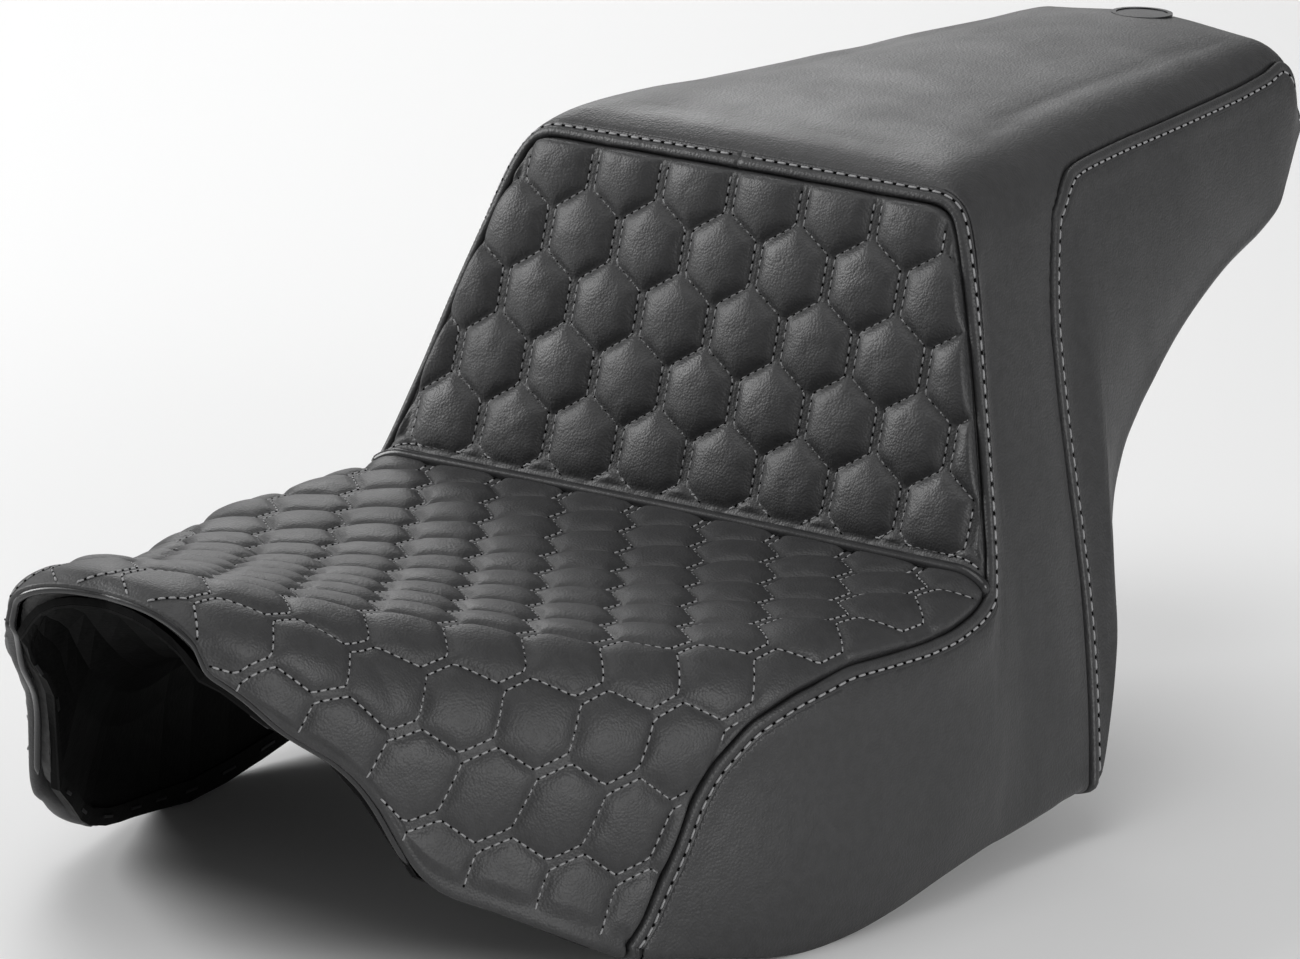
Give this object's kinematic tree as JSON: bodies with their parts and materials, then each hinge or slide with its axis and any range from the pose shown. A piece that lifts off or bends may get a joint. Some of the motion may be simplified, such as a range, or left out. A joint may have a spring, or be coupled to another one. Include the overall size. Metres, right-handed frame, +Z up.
{
  "type": "motorcycle seat",
  "caption": "Two-up motorcycle seat: quilted rider dish and backrest step, smooth raised pillion, foam pads on a moulded base pan.",
  "frame": {"origin": "centre of the footprint on the plane of the lowest skirt edge", "axes": "+X to the seat's left side (rider's left), +Y to the tail, -Y to the nose, +Z up"},
  "size_m": [0.3674, 0.747, 0.2881],
  "materials": {
    "pan_plastic": "moulded black plastic, fine texture",
    "seat_foam": "open-cell moulded foam, matt",
    "quilt_backing": "thin sewn foam, matt",
    "quilted_vinyl": "black grained vinyl, soft sheen, quilted",
    "smooth_vinyl": "black grained vinyl, soft sheen",
    "welt_vinyl": "black vinyl, slightly glossy",
    "hem_vinyl": "black vinyl, back edge, matt",
    "staple_steel": "bright wire",
    "bracket_paint": "black powder coat",
    "rivet_aluminium": "satin",
    "spacer_plastic": "black nylon",
    "screw_steel": "zinc plated",
    "pad_rubber": "black moulded rubber",
    "badge_metal": "satin disc with a plain raised rim"
  },
  "bodies": {
    "seat": {"base_pan": "pan_plastic", "rider_foam": "seat_foam", "passenger_foam": "seat_foam", "rider_quilt_backing": "quilt_backing", "backrest_quilt_backing": "quilt_backing", "rider_cover": "quilted_vinyl", "backrest_cover": "quilted_vinyl", "pillion_wrap_cover": "smooth_vinyl", "side_cover_left": "smooth_vinyl", "side_cover_right": "smooth_vinyl", "seat_welt": "welt_vinyl", "nose_bead": "welt_vinyl", "hem_band": "hem_vinyl", "hem_staples": "staple_steel", "front_tongue": "bracket_paint", "tongue_rivets": "rivet_aluminium", "rear_tab": "bracket_paint", "rear_tab_spacers": "spacer_plastic", "rear_tab_bolts": "screw_steel", "rear_tab_washers": "screw_steel", "front_rest_pads": "pad_rubber", "middle_rest_pads": "pad_rubber", "rear_rest_pads": "pad_rubber", "rest_pad_screws": "screw_steel", "tail_badge": "badge_metal"}
  },
  "joints": []
}
